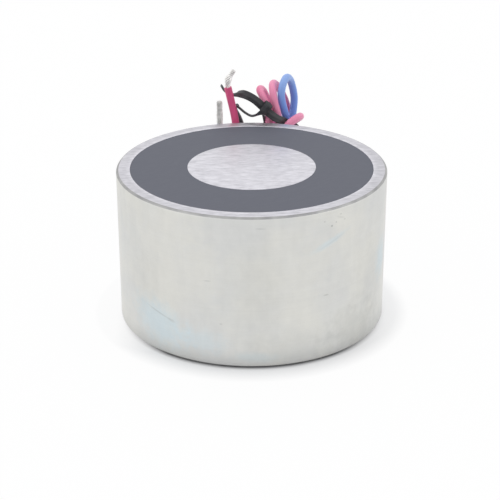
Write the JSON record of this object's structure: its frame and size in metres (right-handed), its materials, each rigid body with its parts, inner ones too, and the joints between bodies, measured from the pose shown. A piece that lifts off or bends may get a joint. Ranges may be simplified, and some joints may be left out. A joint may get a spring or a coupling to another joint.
{
  "type": "holding electromagnet",
  "caption": "Round pot-type holding electromagnet: turned steel pot with a centre pole, a resin-cast coil flush with the holding face, a tapped hole in the back and tied lead wires.",
  "frame": {"origin": "centre of the flat back face, where the pot stands on a surface or is screwed on", "axes": "+Z from the back face to the holding face along the pot's axis, +Y towards the side where the leads leave"},
  "size_m": [0.059, 0.0781, 0.0465],
  "materials": {
    "plated_steel": "zinc plated, ground on the holding face",
    "moulded_nylon": "moulded",
    "enamelled_copper": "enamelled copper wire",
    "polyester_tape": "glossy tape",
    "tinned_copper": "tinned",
    "sleeve_plastic": "shrunk sleeve",
    "casting_resin": "ground flush, satin",
    "bush_rubber": "moulded rubber",
    "red_insulation": "smooth soft plastic",
    "blue_insulation": "smooth soft plastic",
    "tie_plastic": "plastic-coated wire strip"
  },
  "bodies": {
    "root": {"pot_core": "plated_steel", "bobbin": "moulded_nylon", "winding": "enamelled_copper", "coil_tape": "polyester_tape", "red_splice": "tinned_copper", "blue_splice": "tinned_copper", "red_splice_sleeve": "sleeve_plastic", "blue_splice_sleeve": "sleeve_plastic", "red_coil_tail": "enamelled_copper", "blue_coil_tail": "enamelled_copper", "potting": "casting_resin", "lead_bush": "bush_rubber", "red_lead": "red_insulation", "blue_lead": "blue_insulation", "red_lead_tip": "tinned_copper", "blue_lead_tip": "tinned_copper", "twist_tie": "tie_plastic"}
  },
  "joints": []
}
